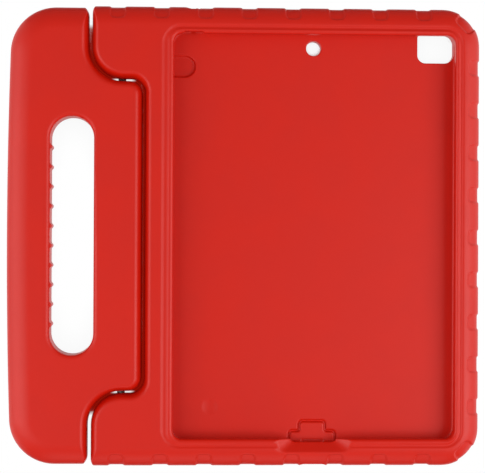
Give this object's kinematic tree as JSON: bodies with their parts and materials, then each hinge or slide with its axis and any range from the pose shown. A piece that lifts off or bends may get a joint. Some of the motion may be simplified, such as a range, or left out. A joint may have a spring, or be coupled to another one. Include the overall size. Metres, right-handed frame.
{
  "type": "kids tablet case",
  "caption": "Soft moulded foam tablet case with a deep lipped pocket, dented rim and a wide carrying handle on a steel rod that swings back to prop the case up.",
  "frame": {"origin": "under the middle of the whole case, on the plane of its flat back", "axes": "+Z from the flat back to the screen side, +X from the handle to the far rim, +Y along the tablet to the camera end"},
  "size_m": [0.2894, 0.2806, 0.022],
  "materials": {
    "body_foam": "satin moulded foam skin",
    "handle_foam": "satin moulded foam skin",
    "rod_steel": "drawn steel rod"
  },
  "bodies": {
    "body": {"case_body": "body_foam", "hinge_rod": "rod_steel"},
    "handle": {"carry_handle": "handle_foam"}
  },
  "joints": [
    {"name": "handle_swing", "type": "hinge", "parent": "body", "child": "handle", "pos_m": [-0.075, 0, 0.0065], "axis": [0, -1, 0], "range_deg": [0, 120]}
  ]
}
